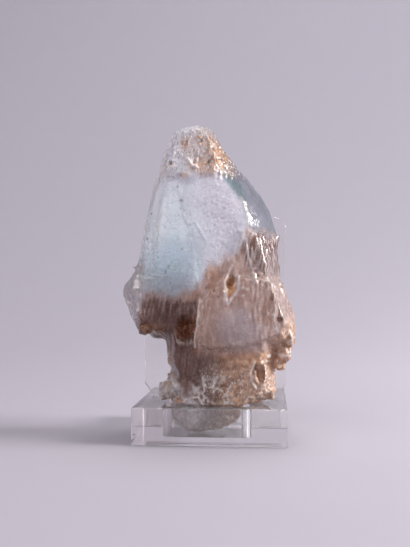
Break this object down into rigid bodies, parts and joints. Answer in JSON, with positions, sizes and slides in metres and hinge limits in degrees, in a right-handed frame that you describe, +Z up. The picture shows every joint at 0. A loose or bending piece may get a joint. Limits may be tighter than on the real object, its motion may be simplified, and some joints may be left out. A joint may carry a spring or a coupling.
{
  "type": "topaz crystal on clear display stand",
  "caption": "Tall etched topaz crystal, pale blue above and smoky brown below, standing in a clear block with an upright back panel.",
  "frame": {"origin": "centre of the stand block's underside", "axes": "+X to the right seen from the front, +Y from the crystal towards the back panel, +Z up"},
  "size_m": [0.0585, 0.05, 0.1058],
  "materials": {
    "topaz": "translucent, etched satin with glassy breaks, pale blue fading down to smoky brown with rust stains",
    "clear_acrylic": "clear polished acrylic with fine handling scratches"
  },
  "bodies": {
    "root": {"topaz_crystal": "topaz", "base_block": "clear_acrylic", "back_panel": "clear_acrylic"}
  },
  "joints": []
}
